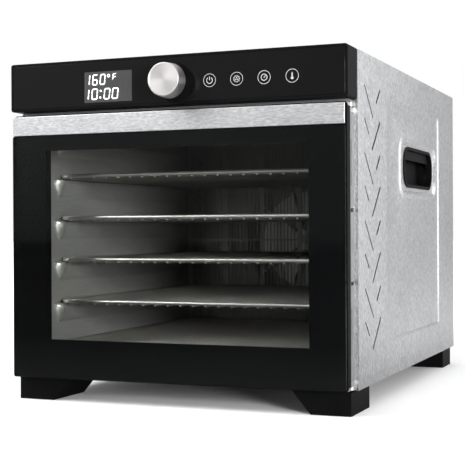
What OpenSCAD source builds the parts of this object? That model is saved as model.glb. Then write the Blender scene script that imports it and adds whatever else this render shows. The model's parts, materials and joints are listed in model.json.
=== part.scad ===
// Food dehydrator: a steel cabinet with a side-hung glass door, wire trays, a fan and a heater.
// Millimetres. +Z is up and the front faces -Y. The origin is at the middle of the base.
// Depths are measured back from the face of the control panel and placed with fy().

/* [Cabinet] */
// Width of the steel casing
body_w = 341; // [339:1:343]
// Depth from the face of the control panel to the back
body_d = 454; // [452:1:470]
// Height from the table to the top of the control panel
body_h = 326; // [325:1:330]
// Height of the feet
foot_h = 21; // [20:0.5:21]
// Thickness of the steel sheets
sheet_t = 1; // [0.8:0.1:1]

/* [Control panel] */
// Distance that the knob stands out of the panel
knob_proud = 25; // [22:1:30]
// Radius of the knob's metal face
knob_face_r = 15.3; // [14:0.1:16]
// Radius of the knob's black skirt at the panel
knob_foot_r = 17.8; // [17:0.1:18.5]
// Sideways place of the knob
knob_x = 5; // [0:1:10]

/* [Door] */
// Width of the window in the door
window_w = 266; // [240:1:270]
// Height of the window's lower edge above the table
window_low = 60; // [50:1:80]
// Height of the window's upper edge above the table
window_high = 241.5; // [200:0.5:242]
// Height of the steel band across the door
band_h = 18.2; // [14:0.2:18.4]

/* [Trays] */
// Height of the lowest tray above the table
tray_low = 52; // [51.5:0.5:54]
// Distance from one tray to the next
tray_pitch = 41.8; // [40:0.1:42]
// Spacing of the wires that run from front to back
tray_wire_pitch = 13.3; // [12:0.1:20]

/* [Fan] */
// Radius of the fan
fan_r = 68; // [60:1:70]
// Number of fan blades
blade_count = 10; // [6:1:12]

/* [Hidden] */
$fn = 48;

// Gap between neighbouring bodies
clear = 0.4;

// Depth stations, measured back from the face of the control panel
gland_proud = 3;
front_y = -(body_d + gland_proud - knob_proud) / 2;
function fy(depth) = front_y + depth;
casing_front = 28.7;
casing_half = body_w / 2;
casing_low = foot_h;
casing_high = body_h - 1;
panel_half = 170;
panel_low = 279.8;
panel_back = 28.5;
control_z = 300.3;

// Door: all depths from its glass to its rear face
door_half = 168.3;
door_low = 22.6;
door_high = 276;
door_front = -1.5;
door_rear = 14.5;
glass_back = 2.5;
border_back = 2.8;
frame_split = 9.5;
glass_high = 256.1;
rail_low = 256.3;

// Hinge line at the right of the door
hinge_x = 164.5;
hinge_depth = 21;
pin_r = 1.5;
pin_bore_r = 1.55;
tab_t = 3;
tab_r = 6;
bracket_t = 4;

// Pairs of magnets that hold the door shut, on the side away from the hinge
magnet_x = -162;
magnet_heights = [73.7, 223.5];
magnet_r = 4;
magnet_t = 3;

// Fixed front frame behind the door
frame_front = 15.7;
frame_back = 28.6;
frame_half = 167.3;
frame_low = 23.2;
frame_high = 279.6;
mouth_half = 151;
mouth_low = 32;
mouth_high = 268;
frame_t = 1.2;

// Heating chamber
wall_in = 151;
floor_z = 30;
ceiling_z = 274;
chamber_end = 420;
chamber_mid = (floor_z + ceiling_z) / 2;
ridge_h = 19;
ridge_out = 7;
ridge_front = 48;
ridge_end = 366;
ridge_count = 6;

// Trays
tray_half = 147.5;
tray_front = 49;
tray_back = 371;
rim_r = 2;
tray_wire_r = 1.1;
corner_r = 10;

// Fan compartment
guard_at = 377;
baffle_at = 392;
fan_at = 397;
fan_depth = 13;
baffle_hole_r = 76;
heater_at = 405;
heater_ring_r = 92;
heater_wire_r = 4;
shaft_r = 3;
shaft_bore_r = 3.05;
motor_depth = 24;

// Side dressing of the casing
emboss_front = 130.6;
emboss_back = 370;
emboss_low = 55;
emboss_high = 292.6;
emboss_depth = 1.2;
bead_front = 184;
bead_back = 360;
bead_low = 196.6;
bead_high = 260;
bead_h = 1.1;
bead_slope = 3.5;
bead_r = 18;
dish_rim = bead_slope + 1;
dish_depth = 1.5;
dish_slope = 3.5;
cup_front = 208.5;
cup_back = 340.5;
cup_low = 208;
cup_high = 250.5;
cup_r = 18;
cup_floor = 153.2;
cup_wall = 1.6;
slit_front_w = 2;
slit_rear_w = 3;
slit_pitch = 61.7;
slit_long = 40;
slit_short = 19.5;
slit_tilt = 46;

steel = [0.78, 0.78, 0.79];
dark_steel = [0.45, 0.45, 0.46];
black = [0.06, 0.06, 0.06];
soft_black = [0.11, 0.11, 0.12];

// ---------- shared shapes ----------

// Flat outline with round corners, centred on the origin
module round_rect(w, h, r) {
    square([w - 2 * r, h], center = true);
    square([w, h - 2 * r], center = true);
    for (x = [-1, 1]) for (z = [-1, 1])
        translate([x * (w / 2 - r), z * (h / 2 - r)]) circle(r);
}

// Upright slab seen from the front: x across, z up, from depth y0 to depth y1
module slab(x0, x1, z0, z1, y0, y1) {
    translate([x0, fy(y0), z0]) cube([x1 - x0, y1 - y0, z1 - z0]);
}

// The same slab with round corners in the front view
module round_slab(x0, x1, z0, z1, y0, y1, r) {
    translate([(x0 + x1) / 2, fy(y1), (z0 + z1) / 2])
        rotate([90, 0, 0]) linear_extrude(y1 - y0) round_rect(x1 - x0, z1 - z0, r);
}

// Round bar along the depth
module depth_bar(x, z, y0, y1, r) {
    translate([x, fy(y0), z]) rotate([-90, 0, 0]) cylinder(r = r, h = y1 - y0);
}

// Shape on the casing's right side: depth across, z up, from x0 out to x1
module side_slab(y0, y1, z0, z1, x0, x1, r) {
    translate([x0, fy((y0 + y1) / 2), (z0 + z1) / 2])
        rotate([90, 0, 90]) linear_extrude(x1 - x0) round_rect(y1 - y0, z1 - z0, r);
}

// Tapered block on the casing's right side, full size at x1 and inset by `inset` at x0
module side_taper(y0, y1, z0, z1, x0, x1, inset, r) {
    w = y1 - y0;
    h = z1 - z0;
    translate([x0, fy((y0 + y1) / 2), (z0 + z1) / 2]) rotate([90, 0, 90])
        linear_extrude(x1 - x0, scale = [w / (w - 2 * inset), h / (h - 2 * inset)], slices = 1)
            offset(r = r, $fn = 32) square([w - 2 * inset - 2 * r, h - 2 * inset - 2 * r], center = true);
}

module both_sides() {
    children();
    mirror([1, 0, 0]) children();
}

// ---------- cabinet ----------

// Slits of the side vents: two columns that lean towards each other
module side_slit(y, z, len, lean, w) {
    translate([casing_half - 3, fy(y), z]) rotate([lean, 0, 0])
        translate([0, -w / 2, -len]) cube([6, w, len]);
}

module side_slits() {
    for (k = [0:3]) {
        side_slit(51.5, 295.5 - k * slit_pitch, slit_long, slit_tilt, slit_front_w);
        side_slit(51.5, 265.5 - k * slit_pitch, slit_short, slit_tilt, slit_front_w);
        side_slit(106, 296 - k * slit_pitch, slit_short, -slit_tilt, slit_rear_w);
        side_slit(106, 266 - k * slit_pitch, slit_long, -slit_tilt, slit_rear_w);
    }
}

// Pressed forms of each side, at the outer face x of the sheet: a sunken panel, a raised
// bead round the hand recess, and the dish inside the bead
module sunken_panel(x) {
    side_taper(emboss_front, emboss_back, emboss_low, emboss_high, x - emboss_depth, x + 0.01, 3, 5);
}

module raised_bead(x) {
    side_taper(bead_front + bead_slope, bead_back - bead_slope, bead_low + bead_slope,
               bead_high - bead_slope, x - emboss_depth, x - emboss_depth + bead_h,
               -bead_slope, bead_r);
}

module dish(x, top) {
    side_taper(bead_front + dish_rim, bead_back - dish_rim, bead_low + dish_rim,
               bead_high - dish_rim, x - emboss_depth - dish_depth, top, dish_slope, bead_r - 4);
}

module hand_hole() {
    inset = 2;
    side_slab(cup_front + inset, cup_back - inset, cup_low + inset, cup_high - inset,
              casing_half - 8, casing_half + 2, cup_r - inset);
}

module casing_shell(inner, flange) {
    difference() {
        slab(-casing_half, casing_half, casing_low, casing_high, casing_front, body_d);
        slab(-inner, inner, casing_low - 1, casing_high - sheet_t, casing_front - 1, body_d + 1);
    }
    both_sides() {
        slab(frame_half - 0.8, inner + 0.01, casing_low, casing_high - sheet_t,
             casing_front, casing_front + sheet_t);
        slab(inner - flange, inner + 0.01, casing_low, casing_high - sheet_t,
             body_d - sheet_t, body_d);
        slab(inner - flange, inner + 0.01, casing_low, casing_low + sheet_t,
             casing_front, body_d);
        sunken_panel(inner);
        dish(inner, inner - emboss_depth + 0.01);
    }
    slab(-inner, inner, casing_high - sheet_t - flange, casing_high - 0.5,
         body_d - sheet_t, body_d);
}

module outer_casing() {
    inner = casing_half - sheet_t;
    flange = 12;
    color(steel) difference() {
        union() {
            difference() {
                casing_shell(inner, flange);
                both_sides() sunken_panel(casing_half);
            }
            both_sides() raised_bead(casing_half);
        }
        both_sides() {
            dish(casing_half, casing_half);
            hand_hole();
            side_slits();
        }
        rear_screw_holes();
    }
}

// Screws that hold the rear panel to the casing's flange: x and z of each
rear_screw_spots = [
    for (s = [-1, 1]) for (z = [45, 172, 300]) [s * (casing_half - 7), z],
    for (x = [-80, 80]) [x, casing_high - 7]
];

module rear_screw_holes() {
    for (p = rear_screw_spots) depth_bar(p[0], p[1], body_d - 4, body_d + 1, 1.8);
}

module rear_screws() {
    color(steel) for (p = rear_screw_spots) {
        depth_bar(p[0], p[1], body_d - 8, body_d + 0.2, 1.7);
        difference() {
            depth_bar(p[0], p[1], body_d, body_d + 1.8, 3.4);
            for (turn = [0, 90]) translate([p[0], fy(body_d + 1.8), p[1]]) rotate([0, turn, 0])
                cube([3.8, 1.6, 0.8], center = true);
        }
    }
}

gland_x = -118;
gland_z = 52;

module rear_panel() {
    front = body_d - 2 * sheet_t - 0.05;
    inner = casing_half - sheet_t - 0.3;
    color(steel) difference() {
        slab(-inner, inner, casing_low + 2.3, casing_high - sheet_t - 0.3, front, front + sheet_t);
        rear_screw_holes();
        depth_bar(gland_x, gland_z, front - 1, body_d, 8);
        for (k = [0:8]) translate([-52 + k * 13, fy(front - 1), chamber_mid - 38])
            cube([5, 4, 76]);
        for (k = [0:4]) translate([70 + k * 13, fy(front - 1), 286]) cube([5, 4, 26]);
    }
}

module base_plate() {
    edge = casing_half - sheet_t - 0.3;
    color(dark_steel) difference() {
        translate([-edge, fy(casing_front + 1.3), casing_low + sheet_t])
            cube([2 * edge, body_d - casing_front - 3.7, sheet_t]);
        for (k = [0:6]) translate([-45 + k * 14, fy(425), casing_low]) cube([5, 18, 4]);
        foot_screw_holes();
    }
}

// One foot: an upright outline with a slanted inner side, run along the depth
foot_outer = 168.5;
foot_inner_low = 131;
foot_inner_high = 113;
front_foot = [11.5, 71.5];
rear_foot = [399, 442];
foot_screw_x = 148;

module foot(side, span) {
    color(black) difference() {
        translate([0, fy(span[1]), 0]) rotate([90, 0, 0]) linear_extrude(span[1] - span[0])
            polygon([[side * foot_outer, 0], [side * foot_inner_low, 0],
                     [side * foot_inner_high, foot_h], [side * foot_outer, foot_h]]);
        for (y = foot_screw_depths(span)) translate([side * foot_screw_x, fy(y), -1]) {
            cylinder(r = 2.2, h = foot_h + 2);
            cylinder(r = 5, h = 10);
        }
    }
}

function foot_screw_depths(span) = [span[1] - 31, span[1] - 10];

module foot_screw_holes() {
    for (s = [-1, 1]) for (span = [front_foot, rear_foot]) for (y = foot_screw_depths(span))
        translate([s * foot_screw_x, fy(y), casing_low - 1]) cylinder(r = 2.2, h = 5);
}

module foot_screws() {
    color(steel) for (s = [-1, 1]) for (span = [front_foot, rear_foot])
        for (y = foot_screw_depths(span)) translate([s * foot_screw_x, fy(y), 0]) {
            translate([0, 0, 9]) cylinder(r = 2, h = casing_low - 4);
            difference() {
                translate([0, 0, 6.2]) cylinder(r = 4, h = 2.8);
                translate([0, 0, 6.2]) cube([5, 1, 2], center = true);
            }
        }
}

module front_frame() {
    notch = hinge_x - tab_r - 1;
    color(steel) difference() {
        round_slab(-frame_half, frame_half, frame_low, frame_high, frame_front, frame_back, 2);
        slab(-mouth_half, mouth_half, mouth_low, mouth_high, frame_front - 1, frame_back + 1);
        difference() {
            slab(-frame_half + frame_t, frame_half - frame_t, frame_low + frame_t,
                 frame_high - frame_t, frame_front + frame_t, frame_back + 1);
            slab(-mouth_half - frame_t, mouth_half + frame_t, mouth_low - frame_t,
                 mouth_high + frame_t, frame_front, frame_back + 2);
        }
        for (z = magnet_heights) both_sides()
            slab(frame_half - 2, frame_half + 1, z - 20.5, z + 20.5, 16.95, 19.4);
        for (z = [116.5, 181.5]) both_sides()
            slab(frame_half - 2, frame_half + 1, z - 1.7, z + 1.7, 16.95, 26);
        slab(notch, frame_half + 1, upper_bracket_low, frame_high - 3.3, frame_front - 1, frame_back + 1);
        slab(notch, frame_half + 1, door_low - 0.8, lower_bracket_high, frame_front - 1, frame_back + 1);
        for (z = magnet_heights) depth_bar(magnet_x, z, frame_front - 1, frame_front + 4, magnet_r);
    }
}

// Hinge heights: each tab is level with the door's edge and turns beside a fixed bracket
upper_tab_low = door_high - 0.2 - tab_t;
lower_tab_low = door_low + 0.2;
upper_bracket_low = upper_tab_low - clear - bracket_t;
lower_bracket_low = lower_tab_low + tab_t + clear;
lower_bracket_high = lower_bracket_low + bracket_t;

module hinge_bracket(z) {
    color(steel) difference() {
        slab(hinge_x - tab_r - 1, frame_half, z, z + bracket_t, frame_front, frame_back);
        translate([hinge_x, fy(hinge_depth), z - 1]) cylinder(r = pin_bore_r, h = bracket_t + 2);
    }
}

module frame_magnets() {
    color(dark_steel) for (z = magnet_heights)
        depth_bar(magnet_x, z, frame_front + 0.1, frame_front + magnet_t, magnet_r);
}

// ---------- chamber ----------

function ridge_top(k) = tray_low - rim_r - clear + k * tray_pitch;

// Side wall with pressed ridges that carry the trays, hollow from behind
module liner(side) {
    color(steel) mirror([side < 0 ? 1 : 0, 0, 0]) difference() {
        union() {
            slab(wall_in, wall_in + sheet_t, floor_z, ceiling_z, casing_front, chamber_end - 0.1);
            for (k = [0:ridge_count - 1]) ridge(ridge_top(k), 0, 0.01);
        }
        for (k = [0:ridge_count - 1]) ridge(ridge_top(k), sheet_t, 1.5 * sheet_t);
    }
}

// One ridge: a flat shelf on top that slopes back to the wall, with slanted ends.
// It lies t inside the pressed form and reaches `root` into the wall.
ridge_nose = 3;
ridge_lead = 9;
module ridge(top, t, root) {
    intersection() {
        translate([wall_in, fy(ridge_end), top]) rotate([90, 0, 0])
            linear_extrude(ridge_end - ridge_front)
                polygon([[root, -t], [t - ridge_out, -t], [t - ridge_out, -ridge_nose - t / 2],
                         [root, t - ridge_h]]);
        translate([wall_in, fy(0), top - ridge_h - 1]) linear_extrude(ridge_h + 2)
            polygon([[root, ridge_front + t], [t - ridge_out, ridge_front + ridge_lead + t / 2],
                     [t - ridge_out, ridge_end - ridge_lead - t / 2], [root, ridge_end - t]]);
    }
}

module chamber_floor() {
    color(steel) slab(-wall_in - sheet_t, wall_in + sheet_t, floor_z - sheet_t, floor_z,
                      casing_front, chamber_end - 0.1);
}

module chamber_ceiling() {
    color(steel) slab(-wall_in - sheet_t, wall_in + sheet_t, ceiling_z, ceiling_z + sheet_t,
                      casing_front, chamber_end - 0.1);
}

motor_screw_r = 44;

module chamber_back() {
    color(steel) difference() {
        slab(-wall_in - sheet_t, wall_in + sheet_t, floor_z - sheet_t, ceiling_z + sheet_t,
             chamber_end, chamber_end + sheet_t);
        depth_bar(0, chamber_mid, chamber_end - 1, chamber_end + 3, 6);
        for (s = [-1, 1]) depth_bar(s * heater_leg_x, heater_leg_z, chamber_end - 1, chamber_end + 3, 6.2);
    }
}

// Plate in front of the fan: air goes in through the round hole and back out at the sides
module fan_baffle() {
    color(steel) difference() {
        slab(-wall_in, wall_in, floor_z, ceiling_z, baffle_at, baffle_at + sheet_t);
        depth_bar(0, chamber_mid, baffle_at - 1, baffle_at + 3, baffle_hole_r);
        for (s = [-1, 1]) for (k = [0:5])
            slab(s * 135 - 8, s * 135 + 8, 46 + k * 36, 72 + k * 36, baffle_at - 1, baffle_at + 3);
    }
}

guard_pitch = 4.4;
guard_wire = 1.2;

// Guard of fine upright wires with thicker bars, in front of the baffle
module fan_guard() {
    w = 2 * wall_in;
    h = ceiling_z - floor_z;
    cells = 66;
    bay_h = (h - 16) / 4;
    color(steel) translate([0, fy(guard_at) + guard_wire, chamber_mid]) rotate([90, 0, 0])
        linear_extrude(guard_wire) difference() {
            square([w, h], center = true);
            for (k = [0:cells - 1]) if (k % 11 != 10) for (row = [0:3])
                translate([(k - (cells - 1) / 2) * guard_pitch, (row - 1.5) * (bay_h + 2)])
                    square([guard_pitch - guard_wire, bay_h], center = true);
        }
}

// ---------- fan and heater ----------

// Fan: a round back plate that carries straight upright blades and a hub
module fan_blades() {
    blade_t = 1.2;
    hub_r = 12;
    plate_inset = 8;
    color(steel) translate([0, fy(fan_at + fan_depth), chamber_mid]) rotate([90, 0, 0]) {
        linear_extrude(sheet_t) difference() {
            circle(fan_r - plate_inset);
            circle(shaft_r);
        }
        translate([0, 0, sheet_t / 2]) linear_extrude(fan_depth - sheet_t / 2) difference() {
            union() {
                circle(hub_r);
                for (k = [0:blade_count - 1]) rotate(k * 360 / blade_count)
                    translate([hub_r - 1, -blade_t / 2]) square([fan_r - hub_r + 1, blade_t]);
            }
            circle(shaft_r);
        }
    }
}

module motor_shaft() {
    color(steel) depth_bar(0, chamber_mid, fan_at - 6, chamber_end + 3 + motor_depth - 4, shaft_r);
}

module fan_nut() {
    color(steel) difference() {
        translate([0, fy(fan_at), chamber_mid]) rotate([90, 0, 0]) cylinder(r = 6, h = 4, $fn = 6);
        depth_bar(0, chamber_mid, fan_at - 5, fan_at + 1, shaft_r);
    }
}

module motor_bracket() {
    color(dark_steel) difference() {
        round_slab(-50, 50, chamber_mid - 18, chamber_mid + 18,
                   chamber_end + sheet_t, chamber_end + 3, 8);
        depth_bar(0, chamber_mid, chamber_end, chamber_end + 4, 8);
    }
}

module fan_motor() {
    y0 = chamber_end + 3;
    y1 = y0 + motor_depth;
    color(dark_steel) difference() {
        union() {
            round_slab(-30, 30, chamber_mid - 30, chamber_mid + 30, y0 + 4, y1 - 6, 4);
            depth_bar(0, chamber_mid, y0, y1, 16);
            round_slab(-38, 38, chamber_mid - 9, chamber_mid + 9, y0, y0 + 5, 3);
        }
        depth_bar(0, chamber_mid, y0 - 1, y1 - 3, shaft_bore_r);
    }
}

// Ring heater round the fan, with two legs through the back of the chamber
heater_leg_angle = 16;
heater_leg_x = heater_ring_r * sin(heater_leg_angle);
heater_leg_z = chamber_mid - heater_ring_r * cos(heater_leg_angle);
heater_leg_r = 3.2;

module heater_element() {
    color(dark_steel) {
        translate([0, fy(heater_at), chamber_mid]) rotate([90, 0, 0])
            rotate_extrude() translate([heater_ring_r, 0]) circle(heater_wire_r);
        for (s = [-1, 1])
            depth_bar(s * heater_leg_x, heater_leg_z, heater_at, chamber_end + 10, heater_leg_r);
    }
}

module heater_insulators() {
    color("white") for (s = [-1, 1]) difference() {
        union() {
            depth_bar(s * heater_leg_x, heater_leg_z, chamber_end - 2, chamber_end + 6, 6.2);
            depth_bar(s * heater_leg_x, heater_leg_z, chamber_end + sheet_t, chamber_end + 3, 8);
        }
        depth_bar(s * heater_leg_x, heater_leg_z, chamber_end - 3, chamber_end + 7, heater_leg_r);
    }
}

module thermal_cutout() {
    color(soft_black) {
        depth_bar(80, 228, chamber_end + sheet_t, chamber_end + 5, 9);
        slab(72, 88, 225, 231, chamber_end + 5, chamber_end + 9);
    }
}

module temperature_sensor() {
    color(steel) translate([118, fy(385), ceiling_z - 26]) cylinder(r = 2.4, h = 26);
}

// ---------- handle cups ----------

// Slab with the cup's round-ended outline, inset all round and further from the top
module cup_slab(inset, top_inset, x0, x1) {
    side_slab(cup_front + inset, cup_back - inset, cup_low + inset, cup_high - top_inset,
              x0, x1, min(cup_r - inset, (cup_high - cup_low - inset - top_inset) / 2 - 0.5));
}

// Black cup let into the casing's side: a bezel, a finger hollow and a lip to lift by
module handle_cup(side) {
    face = casing_half - emboss_depth - dish_depth;
    color(black) mirror([side < 0 ? 1 : 0, 0, 0]) difference() {
        union() {
            cup_slab(0, 0, face, face + 1.4);
            cup_slab(2.2, 2.2, cup_floor, face);
        }
        cup_slab(3.2, 3.2, face - 2.5, face + 4);
        cup_slab(4, 13, face - 6, face);
        cup_slab(4, 4, cup_floor + cup_wall, face - 5);
    }
}

// ---------- control panel ----------

fascia_half = 167.5;
fascia_low = panel_low + 2.4;
fascia_high = body_h - 2.4;
display_low = 285.5;
display_high = 314.5;
display_left = -88.7;
display_right = -38.8;
icon_first = 39.9;
icon_pitch = 26.4;
icon_count = 4;

module panel_housing() {
    wall = 2;
    color(soft_black) difference() {
        round_slab(-panel_half, panel_half, panel_low, body_h, 0, panel_back, 2.5);
        round_slab(-fascia_half, fascia_half, fascia_low, fascia_high, -1, wall, 1.5);
        slab(-panel_half + wall, panel_half - wall, panel_low + wall, body_h - wall,
             2 * wall, panel_back + 1);
        slab(display_left, display_right, display_low, display_high, wall - 1, 2 * wall + 1);
        depth_bar(knob_x, control_z, 0, 2 * wall + 1, 4.6);
        for (k = [0:icon_count - 1])
            depth_bar(icon_first + k * icon_pitch, control_z, wall - 1, 2 * wall + 1, 6);
    }
}

module fascia_glass() {
    color(black) difference() {
        round_slab(-fascia_half + 0.1, fascia_half - 0.1, fascia_low + 0.1, fascia_high - 0.1,
                   0.05, 2, 1.4);
        slab(display_left, display_right, display_low, display_high, -1, 3);
        depth_bar(knob_x, control_z, -1, 3, 4.6);
    }
}

module display_lens() {
    color([0.3, 0.3, 0.31])
        slab(display_left + 0.1, display_right - 0.1, display_low + 0.1, display_high - 0.1, 0.1, 2.1);
}

module display_module() {
    color(soft_black) {
        slab(display_left + 0.5, display_right - 0.5, display_low + 0.5, display_high - 0.5, 2.1, 4);
        slab(display_left - 3, display_right + 3, display_low - 1.5, display_high + 1.5, 4, 9);
        slab(display_left + 4, display_left + 40, display_low + 2, display_low + 6, 9, board_at);
    }
}

board_at = 17;
board_t = 1.6;

module control_board() {
    color([0.05, 0.3, 0.12]) {
        slab(-140, 140, 284, 320, board_at, board_at + board_t);
        slab(-20, -2, 290, 308, board_at + board_t, board_at + board_t + 2);
        slab(60, 84, 290, 296, board_at + board_t, board_at + board_t + 6);
        for (x = [-120, -100, 110]) depth_bar(x, 312, board_at + board_t, board_at + board_t + 6, 3);
    }
}

module encoder_body() {
    color(dark_steel) difference() {
        union() {
            depth_bar(knob_x, control_z, -3, 10, 4.4);
            slab(knob_x - 7, knob_x + 7, control_z - 7, control_z + 7, 9, board_at);
        }
        depth_bar(knob_x, control_z, -4, 14, shaft_bore_r);
    }
}

module encoder_shaft() {
    color(steel) depth_bar(knob_x, control_z, shaft_tip, 13, shaft_r);
}

// Knob: a turned metal cap on a black skirt, both slightly wider towards the panel
knob_cap = 14;
knob_flare = 0.8;
knob_bevel = 0.7;
shaft_tip = -knob_proud + 6;

module knob() {
    color([0.85, 0.84, 0.84]) difference() {
        translate([knob_x, fy(-knob_proud + knob_cap), control_z]) rotate([90, 0, 0]) {
            cylinder(r1 = knob_face_r + knob_flare, r2 = knob_face_r, h = knob_cap - knob_bevel);
            translate([0, 0, knob_cap - knob_bevel])
                cylinder(r1 = knob_face_r, r2 = knob_face_r - knob_bevel, h = knob_bevel);
        }
        depth_bar(knob_x, control_z, shaft_tip, 0, shaft_r);
    }
}

module knob_base() {
    back = -clear;
    color(black) difference() {
        translate([knob_x, fy(back), control_z]) rotate([90, 0, 0])
            cylinder(r1 = knob_foot_r, r2 = knob_face_r + knob_flare - 0.1,
                     h = knob_proud - knob_cap + back);
        depth_bar(knob_x, control_z, shaft_tip, 1, shaft_r);
        depth_bar(knob_x, control_z, -4, 1, 6);
    }
}

module touch_pads() {
    color([0.8, 0.6, 0.3]) for (k = [0:icon_count - 1]) {
        depth_bar(icon_first + k * icon_pitch, control_z, 2.05, 4, 5.5);
        depth_bar(icon_first + k * icon_pitch, control_z, 4, board_at, 2);
    }
}

module power_board() {
    color([0.05, 0.3, 0.12]) {
        slab(-60, 60, 281, 282.6, 120, 220);
        slab(-45, -15, 282.6, 306, 135, 165);
        slab(10, 28, 282.6, 298, 140, 168);
        translate([42, fy(190), 282.6]) cylinder(r = 8, h = 22);
        slab(-50, -20, 282.6, 292, 185, 210);
        for (x = [-52, 52]) for (y = [128, 212])
            translate([x, fy(y), ceiling_z + sheet_t]) cylinder(r = 3, h = 281 - ceiling_z - sheet_t);
    }
}

// Flat cable from the control board back to the power board
module ribbon_cable() {
    color([0.6, 0.6, 0.6]) {
        slab(-98, -78, 296, 297, board_at + board_t, 140);
        slab(-98, -57, 296, 297, 140, 160);
        slab(-58, -57, 283, 296.5, 140, 160);
    }
}

// Bush in the rear panel that the mains lead passes through
module cord_gland() {
    y0 = body_d - 2 * sheet_t - 0.05;
    color(black) difference() {
        union() {
            depth_bar(gland_x, gland_z, y0 - 8, body_d + 1, 7.9);
            depth_bar(gland_x, gland_z, y0 + sheet_t, body_d + gland_proud, 10.5);
            depth_bar(gland_x, gland_z, y0 - 4, y0, 9.5);
        }
        depth_bar(gland_x, gland_z, y0 - 10, body_d + 4, 3.6);
    }
}

// ---------- door ----------

module door_ring(half, low, high, y0, y1, r, win_extra) {
    difference() {
        round_slab(-half, half, low, high, y0, y1, r);
        slab(-window_w / 2 - win_extra, window_w / 2 + win_extra, window_low - win_extra,
             window_high + win_extra, y0 - 1, y1 + 1);
    }
}

module tab_pockets() {
    slab(146, door_half + 1, upper_tab_low - 0.05, door_high + 1, 5.5, door_rear + 1);
    slab(146, door_half + 1, door_low - 1, lower_tab_low + tab_t + 0.05, 5.5, door_rear + 1);
}

// Black moulding behind the glass, with the rail that carries the steel band
module door_frame() {
    wall = 2;
    color(soft_black) difference() {
        union() {
            door_ring(door_half, door_low, door_high, border_back, frame_split, 3, 1);
            slab(-door_half + 0.8, door_half - 0.8, rail_low, door_high - 1,
                 door_front + 0.9, border_back + 0.5);
        }
        difference() {
            slab(-door_half + wall, door_half - wall, door_low + 5.5, door_high - 5.5,
                 border_back + 1.5, frame_split + 1);
            slab(-window_w / 2 - 3, window_w / 2 + 3, window_low - 3, window_high + 3,
                 border_back, frame_split + 2);
            for (p = door_screw_spots) depth_bar(p[0], p[1], border_back, frame_split, 3.6);
        }
        for (p = door_screw_spots) depth_bar(p[0], p[1], border_back + 2, frame_split + 1, door_screw_r);
        tab_pockets();
    }
}

// Black inner frame that closes the back of the door
module door_back_frame() {
    wall = 1.6;
    color(soft_black) difference() {
        door_ring(door_half - 0.7, door_low + 0.4, door_high - 0.4, frame_split, door_rear, 3, 1.5);
        difference() {
            slab(-door_half + 3, door_half - 3, door_low + 5.5, door_high - 5.5,
                 frame_split - 1, door_rear - wall);
            slab(-window_w / 2 - 4, window_w / 2 + 4, window_low - 4, window_high + 4,
                 frame_split - 2, door_rear);
            for (z = magnet_heights) depth_bar(magnet_x, z, frame_split - 2, door_rear, magnet_r + 1.5);
        }
        for (z = magnet_heights) depth_bar(magnet_x, z, door_rear - magnet_t, door_rear + 1, magnet_r);
        for (p = door_screw_spots) depth_bar(p[0], p[1], door_rear - 3, door_rear + 1, door_screw_r + 0.1);
        tab_pockets();
    }
}

door_screw_r = 1.5;
door_screw_spots = [
    for (s = [-1, 1]) for (z = [45, 150, 250]) [s * 146, z],
    for (x = [-60, 60]) for (z = [44, 256]) [x, z]
];

module door_screws() {
    color(steel) for (p = door_screw_spots) {
        depth_bar(p[0], p[1], border_back + 2, door_rear, door_screw_r);
        depth_bar(p[0], p[1], door_rear, door_rear + 0.6, 2.8);
    }
}

module door_glass() {
    color([0.5, 0.55, 0.55, 0.4])
        round_slab(-door_half + 0.7, door_half - 0.7, door_low + 0.3, glass_high,
                   door_front, glass_back, 2.5);
}

// Black print round the window, on the back of the glass
module glass_border() {
    color(black) difference() {
        round_slab(-door_half + 0.9, door_half - 0.9, door_low + 0.5, glass_high - 0.1,
                   glass_back, border_back, 2.4);
        slab(-window_w / 2, window_w / 2, window_low, window_high, 0, border_back + 1);
    }
}

module door_band() {
    low = door_high - 1.4 - band_h;
    color(steel) slab(-door_half + 1, door_half - 1, low, low + band_h, door_front - 0.1, door_front + 0.9);
}

module door_gasket() {
    color(black) difference() {
        round_slab(-158, 158, 25.5, 272.4, door_rear, door_rear + 0.7, 6);
        round_slab(-154, 154, 29.5, 268.4, door_rear - 1, door_rear + 2, 3);
    }
}

module door_magnets() {
    color(dark_steel) for (z = magnet_heights)
        depth_bar(magnet_x, z, door_rear - magnet_t, door_rear, magnet_r);
}

// Hinge tab: a plate let into the door's edge, round at the back where it turns on its pin
module hinge_tab(z) {
    color(dark_steel) difference() {
        translate([0, 0, z]) {
            translate([146.2, fy(5.6), 0]) cube([door_half - 0.8 - 146.2, door_rear - 5.6, tab_t]);
            translate([hinge_x - tab_r, fy(door_rear - 1), 0])
                cube([tab_r + 3, hinge_depth - door_rear + 1, tab_t]);
            translate([hinge_x, fy(hinge_depth), 0]) cylinder(r = tab_r, h = tab_t);
        }
        translate([hinge_x, fy(hinge_depth), z - 1]) cylinder(r = pin_r, h = tab_t + 2);
    }
}

module hinge_pins() {
    color(steel) translate([hinge_x, fy(hinge_depth), 0]) {
        for (z = [upper_bracket_low, lower_tab_low]) translate([0, 0, z])
            cylinder(r = pin_r, h = bracket_t + clear + tab_t);
    }
}

// ---------- trays ----------

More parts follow.
